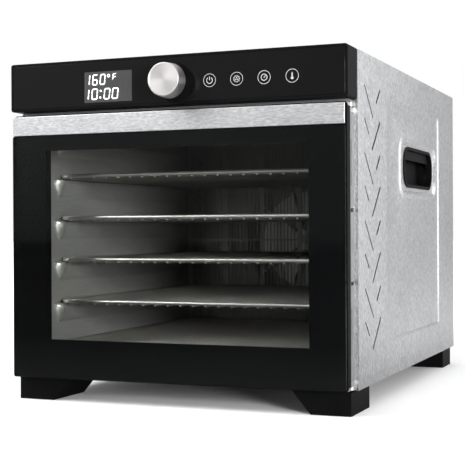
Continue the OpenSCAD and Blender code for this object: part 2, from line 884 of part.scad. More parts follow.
module tray(k) {
    z = tray_low + (k - 1) * tray_pitch;
    w = 2 * (tray_half - rim_r);
    d = tray_back - tray_front - 2 * rim_r;
    mid = (tray_front + tray_back) / 2;
    wires = floor((w - 2 * corner_r) / 2 / tray_wire_pitch);
    color(steel) translate([0, fy(mid), z]) {
        for (s = [-1, 1]) {
            translate([s * w / 2, -d / 2 + corner_r, 0]) rotate([-90, 0, 0])
                cylinder(r = rim_r, h = d - 2 * corner_r);
            translate([-w / 2 + corner_r, s * d / 2, 0]) rotate([0, 90, 0])
                cylinder(r = rim_r, h = w - 2 * corner_r);
        }
        for (q = [0:3]) rotate([0, 0, q * 90])
            translate([(q % 2 == 0 ? w : d) / 2 - corner_r, (q % 2 == 0 ? d : w) / 2 - corner_r, 0])
                rotate_extrude(angle = 90) translate([corner_r, 0]) circle(rim_r);
        for (n = [-wires:wires]) translate([n * tray_wire_pitch, -d / 2 - 1, -rim_r - 0.2])
            rotate([-90, 0, 0]) cylinder(r = tray_wire_r, h = d + 2);
        for (y = [-d / 4, 0, d / 4]) translate([-w / 2, y, -0.6]) rotate([0, 90, 0])
            cylinder(r = tray_wire_r, h = w);
    }
}

// ---------- assembly ----------

outer_casing();
base_plate();
rear_panel();
front_frame();
liner(-1);  // liner_left
liner(1);  // liner_right
chamber_ceiling();
chamber_floor();
chamber_back();
fan_baffle();
fan_guard();
fan_motor();
motor_bracket();
fan_blades();
motor_shaft();
fan_nut();
heater_element();
heater_insulators();
thermal_cutout();
temperature_sensor();
handle_cup(-1);  // handle_cup_left
handle_cup(1);  // handle_cup_right
foot(-1, front_foot);  // foot_front_left
foot(1, front_foot);  // foot_front_right
foot(-1, rear_foot);  // foot_rear_left
foot(1, rear_foot);  // foot_rear_right
foot_screws();
panel_housing();
fascia_glass();
display_lens();
display_module();
control_board();
encoder_body();
encoder_shaft();
knob();
knob_base();
touch_pads();
power_board();
ribbon_cable();
cord_gland();
rear_screws();
frame_magnets();
hinge_bracket(upper_bracket_low);  // hinge_bracket_upper
hinge_bracket(lower_bracket_low);  // hinge_bracket_lower
door_frame();
door_back_frame();
door_glass();
glass_border();
door_band();
door_gasket();
door_magnets();
door_screws();
hinge_tab(upper_tab_low);  // hinge_tab_upper
hinge_tab(lower_tab_low);  // hinge_tab_lower
hinge_pins();
tray(1);  // tray_1
tray(2);  // tray_2
tray(3);  // tray_3
tray(4);  // tray_4
tray(5);  // tray_5
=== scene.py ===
"""Looks of the food dehydrator: materials, fine pieces, studio and camera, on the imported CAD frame.

The steel, glass and plastic looks are assigned to the CAD nodes. The pieces made here are the display's
figures, the touch icons, the knob's turned shapes, the woven tray nets, the pressed chamber walls and
copies of some CAD nodes with softened edges."""
import json
import math

import bmesh
import bpy
from mathutils import Matrix, Vector


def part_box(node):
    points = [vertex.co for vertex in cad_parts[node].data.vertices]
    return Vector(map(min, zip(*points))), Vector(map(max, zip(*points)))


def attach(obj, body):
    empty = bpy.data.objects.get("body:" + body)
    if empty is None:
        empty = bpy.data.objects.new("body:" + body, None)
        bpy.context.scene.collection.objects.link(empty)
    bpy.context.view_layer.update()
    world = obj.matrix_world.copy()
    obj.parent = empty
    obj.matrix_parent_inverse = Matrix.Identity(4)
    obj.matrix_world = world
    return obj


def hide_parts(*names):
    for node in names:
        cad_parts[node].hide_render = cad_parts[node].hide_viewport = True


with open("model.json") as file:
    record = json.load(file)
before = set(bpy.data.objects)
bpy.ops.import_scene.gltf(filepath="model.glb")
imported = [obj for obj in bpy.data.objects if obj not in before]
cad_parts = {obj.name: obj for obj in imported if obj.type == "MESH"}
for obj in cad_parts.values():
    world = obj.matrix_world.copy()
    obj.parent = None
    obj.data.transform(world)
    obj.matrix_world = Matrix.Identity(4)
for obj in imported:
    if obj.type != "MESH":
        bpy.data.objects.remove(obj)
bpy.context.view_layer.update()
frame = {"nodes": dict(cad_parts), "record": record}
nodes = frame["nodes"]
MM = 0.001
WHITE = (1.0, 1.0, 1.0, 1.0)


# ---------- material helpers ----------

def mapped(tree, value, source, target=(0, 1), easing="LINEAR"):
    """Maps a value from its source range to the target range, and holds it there."""
    node = tree.nodes.new("ShaderNodeMapRange")
    node.interpolation_type = easing
    node.inputs["From Min"].default_value, node.inputs["From Max"].default_value = source
    node.inputs["To Min"].default_value, node.inputs["To Max"].default_value = target
    tree.links.new(value, node.inputs["Value"])
    return node.outputs["Result"]


class Look:
    """A Principled material with short calls for adding nodes to it."""

    def __init__(self, name, colour=(0.5, 0.5, 0.5), metallic=0.0, roughness=0.5):
        self.material = bpy.data.materials.new(name)
        self.material.use_nodes = True
        self.tree = self.material.node_tree
        self.shader = self.tree.nodes["Principled BSDF"]
        self.shader.inputs["Base Color"].default_value = (*colour, 1)
        self.shader.inputs["Metallic"].default_value = metallic
        self.shader.inputs["Roughness"].default_value = roughness
        self.coordinates = self.add("ShaderNodeTexCoord").outputs["Object"]

    def add(self, kind, **settings):
        node = self.tree.nodes.new(kind)
        for key, value in settings.items():
            setattr(node, key, value)
        return node

    def link(self, output, target):
        self.tree.links.new(output, target)

    def noise(self, scale, stretch=(1, 1, 1), detail=3.0):
        """Noise in object space. A small stretch factor draws the pattern out along that axis."""
        mapping = self.add("ShaderNodeMapping")
        mapping.inputs["Scale"].default_value = stretch
        self.link(self.coordinates, mapping.inputs["Vector"])
        noise = self.add("ShaderNodeTexNoise")
        noise.inputs["Scale"].default_value = scale
        noise.inputs["Detail"].default_value = detail
        self.link(mapping.outputs["Vector"], noise.inputs["Vector"])
        return noise.outputs["Fac"]

    def ramp(self, factor, low, high, colours):
        """Colours spread between two values of the factor."""
        ramp = self.add("ShaderNodeValToRGB")
        ramp.color_ramp.elements[0].position = low
        ramp.color_ramp.elements[0].color = (*colours[0], 1)
        ramp.color_ramp.elements[1].position = high
        ramp.color_ramp.elements[1].color = (*colours[1], 1)
        self.link(factor, ramp.inputs["Fac"])
        return ramp.outputs["Color"]

    def mix(self, factor, a, b, blend="MIX"):
        """Mixes two colour outputs, or a colour output and a plain colour."""
        mix = self.add("ShaderNodeMix", data_type="RGBA", blend_type=blend)
        for value, socket in ((factor, mix.inputs["Factor"]), (a, mix.inputs["A"]), (b, mix.inputs["B"])):
            if isinstance(value, bpy.types.NodeSocket):
                self.link(value, socket)
            else:
                socket.default_value = value
        return mix.outputs["Result"]

    def spread(self, factor, low, high):
        """Maps a 0 to 1 factor to the range from low to high."""
        return mapped(self.tree, factor, (0, 1), (low, high))

    def bump(self, height, strength, distance):
        bump = self.add("ShaderNodeBump")
        bump.inputs["Strength"].default_value = strength
        bump.inputs["Distance"].default_value = distance
        self.link(height, bump.inputs["Height"])
        self.link(bump.outputs["Normal"], self.shader.inputs["Normal"])


def tinted(colour, share):
    return tuple(channel * share for channel in colour)


def brushed_metal(name, colour, roughness, grain, contrast=0.25, depth=0.02, fleck=0.0, metallic=1.0):
    """Steel with short streaks. grain holds the stretch of the streaks along X, Y and Z.
    fleck is the contrast of the coarser flecks that lie over them."""
    look = Look(name, colour)
    streaks = look.noise(900, grain, detail=6)
    coarse = look.noise(700, tuple(0.4 + stretch * 0.6 for stretch in grain), detail=3)
    clouds = look.noise(14, detail=3)
    darkest, brightest = tinted(colour, 1 - contrast), tinted(colour, 1 + contrast * 0.6)
    fine = look.ramp(streaks, 0.32, 0.68, (darkest, brightest))
    flecks = look.ramp(coarse, 0.34, 0.66, (tinted(WHITE[:3], 1 - fleck), tinted(WHITE[:3], 1 + fleck * 0.5)))
    broad = look.ramp(clouds, 0.3, 0.7, ((0.92, 0.92, 0.93), (1.0, 1.0, 1.0)))
    marked = look.mix(1.0, fine, flecks, "MULTIPLY")
    look.link(look.mix(1.0, marked, broad, "MULTIPLY"), look.shader.inputs["Base Color"])
    look.link(look.spread(streaks, roughness - 0.09, roughness + 0.09), look.shader.inputs["Roughness"])
    look.shader.inputs["Metallic"].default_value = metallic
    look.bump(streaks, 0.35, depth * MM)
    return look.material


def sheet_metal(name, colour, roughness):
    """Plain rolled or plated sheet with soft clouds and fine scuffs."""
    look = Look(name, colour, metallic=1.0)
    clouds = look.noise(30, detail=4)
    scuffs = look.noise(700, (1, 0.15, 0.15), detail=4)
    base = look.ramp(clouds, 0.3, 0.7, (tinted(colour, 0.96), tinted(colour, 1.03)))
    look.link(base, look.shader.inputs["Base Color"])
    look.link(look.spread(scuffs, roughness - 0.08, roughness + 0.08), look.shader.inputs["Roughness"])
    look.bump(scuffs, 0.15, 0.02 * MM)
    return look.material


def moulded_plastic(name, colour, roughness, grain=900, depth=0.03, shine=0.5):
    """Plastic with a fine moulded grain and slight clouding of its gloss."""
    look = Look(name, colour)
    look.shader.inputs["Specular IOR Level"].default_value = shine
    pits = look.noise(grain, detail=2)
    clouds = look.noise(24, detail=3)
    base = look.ramp(clouds, 0.3, 0.7, (tinted(colour, 0.82), tinted(colour, 1.2)))
    look.link(base, look.shader.inputs["Base Color"])
    look.link(look.spread(clouds, roughness - 0.06, roughness + 0.06), look.shader.inputs["Roughness"])
    look.bump(pits, 0.25, depth * MM)
    return look.material


def printed_glass(name, colour, roughness, shine=0.22):
    """Glass printed black on its back: a dark gloss surface with the faintest haze."""
    look = Look(name, colour, roughness=roughness)
    haze = look.noise(18, detail=3)
    base = look.ramp(haze, 0.3, 0.7, (tinted(colour, 0.94), tinted(colour, 1.06)))
    look.link(base, look.shader.inputs["Base Color"])
    look.link(look.spread(haze, roughness, roughness + 0.012), look.shader.inputs["Roughness"])
    look.shader.inputs["Specular IOR Level"].default_value = shine
    return look.material


def clear_pane(name):
    """Window glass: mostly see-through, with a weak mirror that grows at a slant."""
    look = Look(name)
    look.tree.nodes.remove(look.shader)
    passed = look.add("ShaderNodeBsdfTransparent")
    smears = look.ramp(look.noise(9, detail=4), 0.3, 0.7, ((0.935, 0.95, 0.945), (0.95, 0.965, 0.96)))
    look.link(smears, passed.inputs["Color"])
    gloss = look.add("ShaderNodeBsdfGlossy")
    gloss.inputs["Roughness"].default_value = 0.03
    fresnel = look.add("ShaderNodeFresnel")
    fresnel.inputs["IOR"].default_value = 1.22
    blend = look.add("ShaderNodeMixShader")
    look.link(fresnel.outputs["Fac"], blend.inputs["Fac"])
    look.link(passed.outputs["BSDF"], blend.inputs[1])
    look.link(gloss.outputs["BSDF"], blend.inputs[2])
    look.link(blend.outputs["Shader"], look.tree.nodes["Material Output"].inputs["Surface"])
    return look.material


def spun_metal(name, colour):
    """Turned aluminium: fine rings round the Y axis, and a mirror drawn out across them."""
    look = Look(name, colour, metallic=1.0, roughness=0.46)
    separate = look.add("ShaderNodeSeparateXYZ")
    look.link(look.coordinates, separate.inputs["Vector"])
    radius = look.add("ShaderNodeVectorMath", operation="LENGTH")
    flat = look.add("ShaderNodeCombineXYZ")
    look.link(separate.outputs["X"], flat.inputs["X"])
    look.link(separate.outputs["Z"], flat.inputs["Z"])
    look.link(flat.outputs["Vector"], radius.inputs[0])
    rings = look.add("ShaderNodeTexNoise", noise_dimensions="1D")
    rings.inputs["Scale"].default_value = 4000
    look.link(radius.outputs["Value"], rings.inputs["W"])
    base = look.ramp(rings.outputs["Fac"], 0.3, 0.7, (tinted(colour, 0.90), tinted(colour, 1.04)))
    look.link(base, look.shader.inputs["Base Color"])
    look.bump(rings.outputs["Fac"], 0.12, 0.01 * MM)
    tangent = look.add("ShaderNodeTangent", direction_type="RADIAL", axis="Y")
    look.link(tangent.outputs["Tangent"], look.shader.inputs["Tangent"])
    look.shader.inputs["Anisotropic"].default_value = 0.35
    return look.material


def circuit_green(name):
    """Solder mask with darker tracks in a fine block pattern."""
    look = Look(name, (0.02, 0.16, 0.07), roughness=0.35)
    cells = look.add("ShaderNodeTexVoronoi", distance="CHEBYCHEV")
    cells.inputs["Scale"].default_value = 160
    look.link(look.coordinates, cells.inputs["Vector"])
    base = look.ramp(cells.outputs["Distance"], 0.2, 0.8, ((0.015, 0.20, 0.08), (0.01, 0.09, 0.04)))
    look.link(base, look.shader.inputs["Base Color"])
    look.bump(cells.outputs["Distance"], 0.3, 0.05 * MM)
    return look.material


def glowing_print(name, colour, strength):
    """Lit display marks, and white print that glows faintly as painted brightness."""
    look = Look(name, colour, roughness=0.5)
    speckle = look.ramp(look.noise(500, detail=1), 0.2, 0.8, (tinted(colour, 0.92), colour))
    look.link(speckle, look.shader.inputs["Base Color"])
    look.shader.inputs["Emission Color"].default_value = (*colour, 1)
    look.shader.inputs["Emission Strength"].default_value = strength
    return look.material


# Stretch of the streaks along X, Y and Z: a low number draws them out along that axis
BAND_GRAIN = (0.2, 1, 1)
CASING_GRAIN = (1, 1, 0.3)
FRAME_GRAIN = (1, 1, 0.12)
CHAMBER_GRAIN = (1, 0.06, 1)

LOOKS = {
    "casing_steel": brushed_metal("casing_steel", (0.69, 0.695, 0.705), 0.36, CASING_GRAIN,
                                  contrast=0.34, depth=0.015, fleck=0.16),
    "band_steel": brushed_metal("band_steel", (0.90, 0.91, 0.92), 0.38, BAND_GRAIN, 0.22, 0.015, 0.07),
    "frame_steel": brushed_metal("frame_steel", (0.20, 0.20, 0.205), 0.5, FRAME_GRAIN, 0.2, 0.01, 0.1, 0.4),
    "chamber_steel": brushed_metal("chamber_steel", (0.40, 0.39, 0.37), 0.34, CHAMBER_GRAIN,
                                   contrast=0.10, depth=0.01, metallic=0.55),
    "tray_steel": brushed_metal("tray_steel", (0.92, 0.89, 0.84), 0.34, (1, 1, 1), 0.08, 0.01),
    "plated_steel": sheet_metal("plated_steel", (0.48, 0.48, 0.47), 0.42),
    "black_plastic": moulded_plastic("black_plastic", (0.003, 0.003, 0.003), 0.45, shine=0.04),
    "black_glass": printed_glass("black_glass", (0.0035, 0.0035, 0.0038), 0.05, 0.17),
    "clear_glass": clear_pane("clear_glass"),
    "display_glass": printed_glass("display_glass", (0.040, 0.040, 0.041), 0.20, 0.06),
    "knob_metal": spun_metal("knob_metal", (0.63, 0.61, 0.61)),
    "fan_metal": sheet_metal("fan_metal", (0.72, 0.72, 0.72), 0.32),
    "heater_metal": sheet_metal("heater_metal", (0.22, 0.20, 0.19), 0.50),
    "ceramic": moulded_plastic("ceramic", (0.80, 0.78, 0.72), 0.25, 300),
    "motor_steel": sheet_metal("motor_steel", (0.38, 0.38, 0.40), 0.42),
    "module_plastic": moulded_plastic("module_plastic", (0.05, 0.05, 0.05), 0.45),
    "circuit_board": circuit_green("circuit_board"),
    "cable_grey": moulded_plastic("cable_grey", (0.40, 0.40, 0.41), 0.50),
    "pad_copper": sheet_metal("pad_copper", (0.72, 0.47, 0.28), 0.35),
    "rubber_black": moulded_plastic("rubber_black", (0.02, 0.02, 0.02), 0.65, 600),
    "magnet_grey": sheet_metal("magnet_grey", (0.55, 0.55, 0.57), 0.25),
}
# A near-white steel for the ridge noses: a painted highlight
NOSE_HIGHLIGHT_STEEL = sheet_metal("painted_nose_highlight", (0.97, 0.96, 0.93), 0.46)
LIT_WHITE = glowing_print("lit_digits", (0.95, 0.97, 0.98), 0.9)
# The icons are grey print with a faint painted glow
GLOWING_ICON_PRINT = glowing_print("icon_print_glow", (0.34, 0.34, 0.34), 0.06)

slot_of = {part["node"]: part["material_slot"] for part in frame["record"]["subparts"]}
body_of = {node: body for body, members in frame["record"]["behaviour"]["bodies"].items() for node in members}
for name, node in nodes.items():
    node.data.materials.clear()
    node.data.materials.append(LOOKS[slot_of[name]])


# ---------- mesh helpers ----------

def add_piece(name, mesh, body, slot, look=None, smooth_angle=35, place=None):
    """Links a mesh as a piece that rides on a body and takes its finish from a slot."""
    piece = bpy.data.objects.new(name, mesh)
    bpy.context.scene.collection.objects.link(piece)
    mesh.materials.clear()
    mesh.materials.append(look or LOOKS[slot])
    mesh.shade_smooth()
    mesh.set_sharp_from_angle(angle=math.radians(smooth_angle))
    if place is not None:
        piece.location = place
    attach(piece, body)
    return piece


def mesh_of(bm, name):
    bmesh.ops.recalc_face_normals(bm, faces=bm.faces)
    mesh = bpy.data.meshes.new(name)
    bm.to_mesh(mesh)
    bm.free()
    return mesh


def softened(node_name, width, segments=2, limit=30):
    """A copy of a CAD node with its sharp edges rounded, which stands for that node."""
    bm = bmesh.new()
    bm.from_mesh(nodes[node_name].data)
    bmesh.ops.remove_doubles(bm, verts=bm.verts, dist=0.002 * MM)
    bmesh.ops.dissolve_limit(bm, angle_limit=math.radians(0.4), verts=bm.verts, edges=bm.edges)
    piece = add_piece(node_name + "_soft", mesh_of(bm, node_name + "_soft"), body_of[node_name],
                      slot_of[node_name], smooth_angle=limit)
    bevel = piece.modifiers.new("edges", "BEVEL")
    bevel.width = width * MM
    bevel.segments = segments
    bevel.limit_method = "ANGLE"
    bevel.angle_limit = math.radians(limit)
    bevel.harden_normals = True
    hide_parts(node_name)
    return piece


def three_sided_wire(bm, points, radius):
    """A wire of three sides along a line of points, with one edge on top and its ends shut."""
    rings = []
    for k, point in enumerate(points):
        before = points[max(k - 1, 0)]
        after = points[min(k + 1, len(points) - 1)]
        along = (after - before).normalized()
        side = along.cross(Vector((0, 0, 1))).normalized()
        over = side.cross(along)
        ring = []
        for s in range(3):
            angle = math.pi / 2 + math.tau * s / 3
            ring.append(bm.verts.new(point + radius * (math.cos(angle) * side + math.sin(angle) * over)))
        rings.append(ring)
    for ring, following in zip(rings, rings[1:]):
        for s in range(3):
            n = (s + 1) % 3
            bm.faces.new((ring[s], ring[n], following[n], following[s]))
    bm.faces.new(reversed(rings[0]))
    bm.faces.new(rings[-1])


def plate(bm, outline, front, thickness):
    """A flat mark seen from the front: an outline of (x, z) points, with its back at depth front."""
    near = [bm.verts.new((x, front - thickness, z)) for x, z in outline]
    far = [bm.verts.new((x, front, z)) for x, z in outline]
    count = len(outline)
    bm.faces.new(near)
    bm.faces.new(reversed(far))
    for k in range(count):
        bm.faces.new((near[k], far[k], far[(k + 1) % count], near[(k + 1) % count]))


def band(bm, centre, inner, outer, start, end, front, thickness, steps=40):
    """Part of a flat ring seen from the front, between two angles in degrees."""
    for k in range(steps):
        a = math.radians(start + (end - start) * k / steps)
        b = math.radians(start + (end - start) * (k + 1) / steps)
        outline = [(centre[0] + r * math.cos(t), centre[1] + r * math.sin(t))
                   for r, t in ((inner, a), (outer, a), (outer, b), (inner, b))]
        plate(bm, outline, front, thickness)


def disc(bm, centre, radius, front, thickness, steps=20):
    outline = [(centre[0] + radius * math.cos(math.tau * k / steps),
                centre[1] + radius * math.sin(math.tau * k / steps)) for k in range(steps)]
    plate(bm, outline, front, thickness)


def bar(bm, a, b, width, front, thickness):
    """A straight stroke between two (x, z) points."""
    run = Vector((b[0] - a[0], b[1] - a[1])).normalized()
    side = Vector((-run.y, run.x)) * width / 2
    outline = [(a[0] - side.x, a[1] - side.y), (b[0] - side.x, b[1] - side.y),
               (b[0] + side.x, b[1] + side.y), (a[0] + side.x, a[1] + side.y)]
    plate(bm, outline, front, thickness)


# ---------- display ----------

PRINT = 0.04 * MM
FIGURE_TALL = 10.2 * MM
FIGURE_WIDE = 6.4 * MM
STROKE = 1.0 * MM
LEAN = 0.09

# The bars of each figure, clockwise from the top, then the middle one
SEGMENTS = {"0": "abcdef", "1": "bc", "6": "acdefg", "F": "aefg"}

# Each line's figures, with their left edges in millimetres from the left of the lens
UPPER_LINE = (("1", -0.6), ("6", 7.7), ("0", 15.7))
LOWER_LINE = (("1", -2.4), ("0", 6.8), ("0", 19.9), ("0", 28.5))


def digit(bm, text, left, bottom, width, height, stroke, front):
    """One seven-segment figure with pointed bars, leaning slightly to the right."""
    gap = 0.12 * stroke
    middle = bottom + height / 2
    top = bottom + height

    def bevelled(ax, az, bx, bz):
        run = Vector((bx - ax, bz - az))
        run.normalize()
        side = Vector((-run.y, run.x)) * stroke / 2
        inset = run * stroke / 2
        start = Vector((ax, az)) + run * gap
        stop = Vector((bx, bz)) - run * gap
        corners = [start, start + inset - side, stop - inset - side]
        corners += [stop, stop - inset + side, start + inset + side]
        plate(bm, [(c.x + LEAN * (c.y - bottom), c.y) for c in corners], front, PRINT)

    x0 = left + stroke / 2
    x1 = left + width - stroke / 2
    z0 = bottom + stroke / 2
    z1 = top - stroke / 2
    bars = {"a": (x0, z1, x1, z1), "b": (x1, middle, x1, z1), "c": (x1, z0, x1, middle),
            "d": (x0, z0, x1, z0), "e": (x0, z0, x0, middle), "f": (x0, middle, x0, z1),
            "g": (x0, middle, x1, middle)}
    for name in SEGMENTS[text]:
        bevelled(*bars[name])


def display_digits():
    """A temperature above a time, as lit marks on the lens."""
    low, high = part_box("display_lens")
    front, left, top = low.y, low.x, high.z
    upper = top - 12.6 * MM
    lower = top - 26.4 * MM
    bm = bmesh.new()
    for text, x in UPPER_LINE:
        digit(bm, text, left + x * MM, upper, FIGURE_WIDE - 0.7 * MM, FIGURE_TALL, STROKE, front)
    digit(bm, "F", left + 29.3 * MM, top - 8.6 * MM, 4.0 * MM, 6.2 * MM, 0.75 * MM, front)
    degree = (left + 25.3 * MM, top - 4.3 * MM)
    band(bm, degree, 0.95 * MM, 1.55 * MM, 0, 360, front, PRINT, 24)
    for text, x in LOWER_LINE:
        digit(bm, text, left + x * MM, lower, FIGURE_WIDE, FIGURE_TALL * 1.03, STROKE, front)
    for height in (2.0, 8.2):
        dot = (left + (16.2 + LEAN * height) * MM, lower + height * MM)
        disc(bm, dot, 0.95 * MM, front, PRINT)
    add_piece("display_digits", mesh_of(bm, "display_digits"), "cabinet", "display_glass", LIT_WHITE)


# ---------- touch icons ----------

ICON_R = 6.1 * MM
LINE = 0.44 * MM


def power_icon(bm, x, z, front):
    band(bm, (x, z), 2.5 * MM, 3.15 * MM, 122, 418, front, PRINT)
    bar(bm, (x, z), (x, z + 3.4 * MM), 0.65 * MM, front, PRINT)


def fan_icon(bm, x, z, front):
    petals = 9
    for k in range(petals):
        a = math.tau * k / petals
        disc(bm, (x + 2.75 * MM * math.cos(a), z + 2.75 * MM * math.sin(a)), 0.62 * MM, front, PRINT, 10)
    band(bm, (x, z), 2.15 * MM, 2.75 * MM, 0, 360, front, PRINT)
    for k in range(3):
        a = math.radians(90 + 120 * k)
        disc(bm, (x + 0.95 * MM * math.cos(a), z + 0.95 * MM * math.sin(a)), 0.6 * MM, front, PRINT, 12)


def clock_icon(bm, x, z, front):
    band(bm, (x, z), 2.5 * MM, 3.15 * MM, 0, 360, front, PRINT)
    disc(bm, (x, z), 0.55 * MM, front, PRINT)
    bar(bm, (x, z), (x + 1.5 * MM, z + 1.6 * MM), 0.6 * MM, front, PRINT)


def thermometer_icon(bm, x, z, front):
    disc(bm, (x, z - 1.9 * MM), 1.35 * MM, front, PRINT)
    bar(bm, (x, z - 1.2 * MM), (x, z + 2.6 * MM), 1.25 * MM, front, PRINT)
    disc(bm, (x, z + 2.6 * MM), 0.62 * MM, front, PRINT, 14)


def touch_icons():
    low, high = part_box("touch_pads")
    pad = (high.z - low.z) / 2
    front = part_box("fascia_glass")[0].y
    z = (low.z + high.z) / 2
    marks = (power_icon, fan_icon, clock_icon, thermometer_icon)
    first = low.x + pad
    pitch = (high.x - low.x - 2 * pad) / (len(marks) - 1)
    bm = bmesh.new()
    for k, mark in enumerate(marks):
        x = first + k * pitch
        band(bm, (x, z), ICON_R - LINE, ICON_R, 0, 360, front, PRINT, 56)
        mark(bm, x, z, front)
    add_piece("touch_icons", mesh_of(bm, "touch_icons"), "cabinet", "black_glass", GLOWING_ICON_PRINT)


# ---------- knob ----------

def lathe(profile, steps=96):
    """Turns (radius, y) points round the Y axis. A profile starts and ends on the axis, or is closed."""
    bm = bmesh.new()
    rings = []
    for radius, y in profile:
        if radius < 1e-7:
            rings.append([bm.verts.new((0, y, 0))])
            continue
        rings.append([bm.verts.new((radius * math.cos(math.tau * k / steps), y,
                                    radius * math.sin(math.tau * k / steps))) for k in range(steps)])
    for ring, following in zip(rings, rings[1:]):
        for k in range(steps):
            n = (k + 1) % steps
            if len(ring) == 1:
                bm.faces.new((ring[0], following[k], following[n]))
            elif len(following) == 1:
                bm.faces.new((ring[k], ring[n], following[0]))
            else:
                bm.faces.new((ring[k], ring[n], following[n], following[k]))
    return bm


def rounded_corner(radius, bend, steps=5):
    """Points of a quarter round from a face at y = 0 to a side at radius."""
    points = []
    for k in range(steps + 1):
        a = math.radians(90 * k / steps)
        points.append((radius - bend + bend * math.sin(a), bend - bend * math.cos(a)))
    return points


def knob_cap(low, high):
    """A spun face set just inside a thin bright rim, and a side that widens to the back."""
    back_r = (high.x - low.x) / 2
    face_r = back_r - 0.8 * MM
    depth = high.y - low.y
    face = [(0, 0.30 * MM), (face_r * 0.5, 0.26 * MM)]
    face += [(face_r - 1.25 * MM, 0.20 * MM), (face_r - 1.0 * MM, 0)]
    side = rounded_corner(face_r, 0.7 * MM)
    back = [(back_r, depth - 0.25 * MM), (back_r - 0.25 * MM, depth), (4 * MM, depth), (0, depth)]
    return lathe(face + side + back)


def knob_skirt(low, high, cap_r):
    """A black cone behind the cap, with a narrow shadow groove where they meet."""
    back_r = (high.x - low.x) / 2
    length = high.y - low.y
    shaft_r, socket_r, socket_y = 3.2 * MM, 6 * MM, length - 3.6 * MM
    groove_r = cap_r - 1.1 * MM
    outline = [(shaft_r, 0), (groove_r, 0), (groove_r, 0.5 * MM), (cap_r - 0.35 * MM, 0.8 * MM)]
    outline += [(back_r - 0.3 * MM, length - 1.2 * MM), (back_r, length - 0.8 * MM)]
    outline += [(back_r, length - 0.2 * MM), (back_r - 0.2 * MM, length)]
    outline += [(socket_r, length), (socket_r, socket_y), (shaft_r, socket_y)]
    skirt = lathe(outline + [outline[0]])
    bmesh.ops.remove_doubles(skirt, verts=skirt.verts, dist=0.001 * MM)
    return skirt


def knob_pieces():
    cap_low, cap_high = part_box("knob")
    skirt_low, skirt_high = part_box("knob_base")
    centre = Vector(((cap_low.x + cap_high.x) / 2, 0, (cap_low.z + cap_high.z) / 2))
    cap = knob_cap(cap_low, cap_high)
    piece = add_piece("knob_cap", mesh_of(cap, "knob_cap"), "knob", "knob_metal",
                      place=centre + Vector((0, cap_low.y, 0)))
    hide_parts("knob")
    skirt = knob_skirt(skirt_low, skirt_high, (cap_high.x - cap_low.x) / 2)
    piece = add_piece("knob_skirt", mesh_of(skirt, "knob_skirt"), "knob", "black_plastic",
                      place=centre + Vector((0, skirt_low.y, 0)))
    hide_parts("knob_base")


# ---------- tray nets ----------

def tray_net(number):
    """A woven net inside one tray's rim: crimped wires that pass over and under each other."""
    low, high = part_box(f"tray_{number}")
    rim = 3.2 * MM
    pitch = 4.4 * MM
    wire = 0.44 * MM
    x0, x1 = low.x + rim, high.x - rim
    y0, y1 = low.y + rim, high.y - rim
    level = high.z - 1.35 * MM
    columns = round((x1 - x0) / pitch)
    rows = round((y1 - y0) / pitch)
    dx = (x1 - x0) / columns
    dy = (y1 - y0) / rows
    bm = bmesh.new()
    for i in range(1, columns):
        line = [Vector((x0 + i * dx, y0 + j * dy, level + wire * (1 if (i + j) % 2 else -1)))
                for j in range(rows + 1)]
        three_sided_wire(bm, line, wire)
    for j in range(1, rows):
        line = [Vector((x0 + i * dx, y0 + j * dy, level + wire * (-1 if (i + j) % 2 else 1)))
                for i in range(columns + 1)]
        three_sided_wire(bm, line, wire)
    add_piece(f"tray_net_{number}", mesh_of(bm, f"tray_net_{number}"), f"tray_{number}", "tray_steel",
              smooth_angle=180)


# ---------- chamber walls ----------

RIDGES = 6
RIDGE_TALL = 19 * MM
RIDGE_END = 11 * MM
SHELF = 1.6 * MM
FINE_SPAN = 12 * MM
SHEET = 0.8 * MM


def spaced(start, length, count):
    """Places from a start over a length, in equal steps."""
    return [start + length * k / count for k in range(count + 1)]


def ridge_share(inside, z, tops):
    """How far a ridge stands out at height z, from 0 to 1, at a distance inside its nearer end."""
    if inside <= 0:
        return 0.0
    round_end = math.sqrt(1 - (1 - min(inside / RIDGE_END, 1.0)) ** 2)
    for top in tops:
        drop = (top - z) / RIDGE_TALL
        if -0.02 < drop < round_end:
            shelf = min(max((top - z) / SHELF, 0.0), 1.0)
            slope = max(1 - drop / max(round_end, 0.05), 0.0)
            return round_end * min(shelf ** 0.5, 1.0) * min(slope ** 0.75 * 1.25, 1.0)
    return 0.0


def wall_columns(front, nose, tail, back):
    """Depths of the wall's points: close together where the ridges begin and end."""
    ys = spaced(front, nose - front, 6)[:-1]
    ys += spaced(nose, FINE_SPAN, 16)
    ys += spaced(nose + FINE_SPAN, tail - nose - 2 * FINE_SPAN, 14)[1:-1]
    ys += spaced(tail - FINE_SPAN, FINE_SPAN, 16)
    ys += spaced(tail, back - tail, 4)[1:]
    return ys


def wall_rows(low, high, tops):
    """Heights of the wall's points: close together at each ridge's top."""
    slope = RIDGE_TALL - SHELF
    zs = [low, high]
    for top in tops:
        zs += [top + 0.05 * MM] + spaced(top, -SHELF, 5)
        zs += [top - SHELF - slope * k / 16 for k in range(1, 18)]
    return sorted(z for z in zs if low <= z <= high)


def thin_sheet(bm, front, rear):
    """Faces of a sheet between two equal grids of points."""
    rows, columns = len(front), len(front[0])
    for grid in (front, rear):
        for j in range(rows - 1):
            for k in range(columns - 1):
                bm.faces.new((grid[j][k], grid[j][k + 1], grid[j + 1][k + 1], grid[j + 1][k]))
    edge = [(0, k) for k in range(columns)] + [(j, columns - 1) for j in range(1, rows)]
    edge += [(rows - 1, k) for k in range(columns - 2, -1, -1)]
    edge += [(j, 0) for j in range(rows - 2, 0, -1)]
    for (a, b), (c, d) in zip(edge, edge[1:] + edge[:1]):
        bm.faces.new((front[a][b], front[c][d], rear[c][d], rear[a][b]))


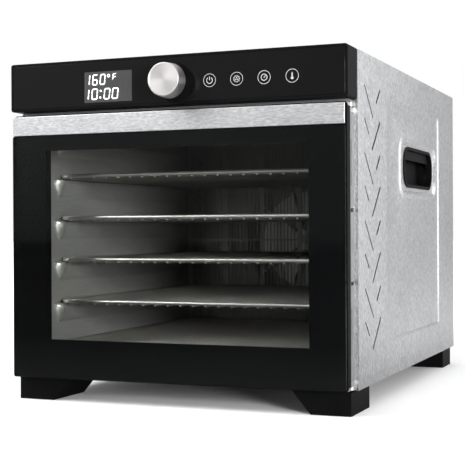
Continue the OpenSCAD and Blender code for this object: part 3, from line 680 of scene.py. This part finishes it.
def chamber_wall(node_name, side):
    """A pressed side wall: smooth round-nosed ridges that carry the trays."""
    low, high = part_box(node_name)
    tray_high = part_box("tray_1")[1]
    wall = max(abs(low.x), abs(high.x)) - 1 * MM
    reach = wall - min(abs(low.x), abs(high.x))
    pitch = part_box("tray_2")[1].z - tray_high.z
    tops = [tray_high.z - 4.4 * MM + k * pitch for k in range(RIDGES)]
    nose = low.y + 19.3 * MM
    tail = tray_high.y - 5 * MM
    ys = wall_columns(low.y, nose, tail, high.y)
    zs = wall_rows(low.z, high.z, tops)
    bm = bmesh.new()
    grids = []
    for thickness in (0, SHEET):
        grids.append([])
        for y in ys:
            xs = [wall - reach * ridge_share(min(y - nose, tail - y), z, tops) + thickness for z in zs]
            grids[-1].append([bm.verts.new((side * x, y, z)) for x, z in zip(xs, zs)])
    thin_sheet(bm, *grids)
    piece = add_piece(node_name + "_pressed", mesh_of(bm, node_name + "_pressed"), "cabinet",
                      "chamber_steel", smooth_angle=50)
    # The noses get a near-white steel: a painted highlight that stands for the glint of light on their round
    # ends
    piece.data.materials.append(NOSE_HIGHLIGHT_STEEL)
    for face in piece.data.polygons:
        if nose < face.center.y < nose + RIDGE_END and abs(face.center.x) < wall - 1.5 * MM:
            face.material_index = 1
    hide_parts(node_name)


# ---------- build ----------

display_digits()
touch_icons()
knob_pieces()
for number in range(1, 6):
    tray_net(number)
chamber_wall("liner_left", -1)
chamber_wall("liner_right", 1)
for name, width in (("foot_front_left", 0.9), ("foot_front_right", 0.9), ("foot_rear_left", 0.9),
                    ("foot_rear_right", 0.9), ("panel_housing", 0.5), ("door_frame", 0.4),
                    ("door_back_frame", 0.4), ("fascia_glass", 0.25), ("door_band", 0.3),
                    ("handle_cup_left", 0.5), ("handle_cup_right", 0.5)):
    softened(name, width)
softened("outer_casing", 0.35, limit=12)


# ---------- studio ----------

# Brightness of the surroundings as the object sees them
FRONT_LEVEL = 0.16
LEFT_LEVEL = 1.2
BACK_LEVEL = 0.37
TOP_LEVEL = 0.58

# Half the floor's width, and the distances over which it begins to glow, in metres
FLOOR_REACH = 14
GLOW_SPAN = (0.45, 1.6)


def studio_floor():
    """A white floor. Past the shadows it glows a little, so that it meets the backdrop unseen."""
    bm = bmesh.new()
    bmesh.ops.create_grid(bm, x_segments=8, y_segments=8, size=FLOOR_REACH)
    look = Look("studio_floor", (0.9, 0.9, 0.9), roughness=0.8)
    tone = look.ramp(look.noise(3, detail=2), 0.3, 0.7, ((0.90, 0.90, 0.90), (0.92, 0.92, 0.92)))
    path = look.add("ShaderNodeLightPath").outputs
    split = look.add("ShaderNodeSeparateXYZ")
    look.link(look.coordinates, split.inputs["Vector"])
    # In reflections the floor is painted dark in front and lighter behind: painted shade and light for the
    # steel to reflect
    back = mapped(look.tree, split.outputs["Y"], (-0.8, 0.8))
    reflected_shade = look.ramp(back, 0, 1, ((0.03, 0.03, 0.03), (0.62, 0.62, 0.62)))
    look.link(look.mix(path["Is Glossy Ray"], tone, reflected_shade), look.shader.inputs["Base Color"])
    look.shader.inputs["Specular IOR Level"].default_value = 0.0
    distance = look.add("ShaderNodeVectorMath", operation="LENGTH")
    look.link(look.coordinates, distance.inputs[0])
    glow = mapped(look.tree, distance.outputs["Value"], GLOW_SPAN, easing="SMOOTHSTEP")
    shown = look.add("ShaderNodeMath", operation="MULTIPLY")
    look.link(glow, shown.inputs[0])
    look.link(path["Is Camera Ray"], shown.inputs[1])
    look.shader.inputs["Emission Color"].default_value = WHITE
    look.link(shown.outputs["Value"], look.shader.inputs["Emission Strength"])
    floor = bpy.data.objects.new("studio_floor", mesh_of(bm, "studio_floor"))
    floor.data.materials.append(look.material)
    bpy.context.scene.collection.objects.link(floor)


def softbox(name, place, target, width, height, power):
    """A rectangular lamp at a place, aimed at a target."""
    lamp = bpy.data.lights.new(name, "AREA")
    lamp.shape = "RECTANGLE"
    lamp.size = width
    lamp.size_y = height
    lamp.energy = power
    holder = bpy.data.objects.new(name, lamp)
    holder.location = place
    holder.rotation_euler = (Vector(target) - Vector(place)).to_track_quat("-Z", "Y").to_euler()
    bpy.context.scene.collection.objects.link(holder)


def surroundings():
    """A white backdrop that the object sees as dim in front, brighter behind, on the left and above."""
    world = bpy.data.worlds.new("studio")
    world.use_nodes = True
    tree = world.node_tree
    split = tree.nodes.new("ShaderNodeSeparateXYZ")
    tree.links.new(tree.nodes.new("ShaderNodeTexCoord").outputs["Generated"], split.inputs["Vector"])
    x, y, z = (split.outputs[axis] for axis in "XYZ")
    level = mapped(tree, y, (-1, 1), (FRONT_LEVEL, BACK_LEVEL))
    left = mapped(tree, x, (-0.25, -0.65), (0, LEFT_LEVEL))
    above = mapped(tree, z, (-0.04, 0.20))
    rise = mapped(tree, z, (0, 0.8))
    sides = tree.nodes.new("ShaderNodeMath")
    sides.operation = "MULTIPLY_ADD"
    for value, socket in zip((left, above, level), sides.inputs):
        tree.links.new(value, socket)
    blend = tree.nodes.new("ShaderNodeMix")
    tree.links.new(rise, blend.inputs["Factor"])
    tree.links.new(sides.outputs["Value"], blend.inputs["A"])
    blend.inputs["B"].default_value = TOP_LEVEL
    shown = tree.nodes.new("ShaderNodeMix")
    tree.links.new(tree.nodes.new("ShaderNodeLightPath").outputs["Is Camera Ray"], shown.inputs["Factor"])
    tree.links.new(blend.outputs["Result"], shown.inputs["A"])
    shown.inputs["B"].default_value = 1.0
    background = tree.nodes["Background"]
    background.inputs["Color"].default_value = WHITE
    tree.links.new(shown.outputs["Result"], background.inputs["Strength"])
    bpy.context.scene.world = world


def studio_lamps():
    """Key from the upper left, fill from the right, a glow along the side, and a wide top light."""
    softbox("key", (-1.45, -1.35, 1.6), (0, -0.1, 0.12), 1.2, 1.0, 55)
    softbox("fill", (1.4, -1.45, 0.35), (-0.15, -0.12, 0.12), 0.45, 0.45, 50)
    softbox("side", (0.95, 0.60, 0.4), (0.17, -0.2, 0.1), 0.8, 0.8, 3.6)
    softbox("top", (0.2, 0.1, 2.6), (0, 0, 0), 4.5, 4.5, 42)


def camera():
    """The lens and place that show the front and the right side."""
    yaw, pitch, roll = 0.3832, -0.0023, -0.0048
    place = Vector((454.03, -1189.25, 164.57)) * MM
    forward = Vector((-math.sin(yaw) * math.cos(pitch), math.cos(yaw) * math.cos(pitch), math.sin(pitch)))
    right = Vector((math.cos(yaw), math.sin(yaw), 0))
    up = right.cross(forward)
    rolled_right = right * math.cos(roll) + up * math.sin(roll)
    rolled_up = up * math.cos(roll) - right * math.sin(roll)
    data = bpy.data.cameras.new("camera")
    data.sensor_width = 36
    data.lens = 90.2380645
    data.clip_start = 0.05
    eye = bpy.data.objects.new("camera", data)
    turn = Matrix((rolled_right, rolled_up, -forward)).transposed().to_4x4()
    eye.matrix_world = Matrix.Translation(place) @ turn
    bpy.context.scene.collection.objects.link(eye)
    bpy.context.scene.camera = eye


studio_floor()
surroundings()
studio_lamps()
camera()
bpy.context.scene.view_settings.view_transform = "Standard"
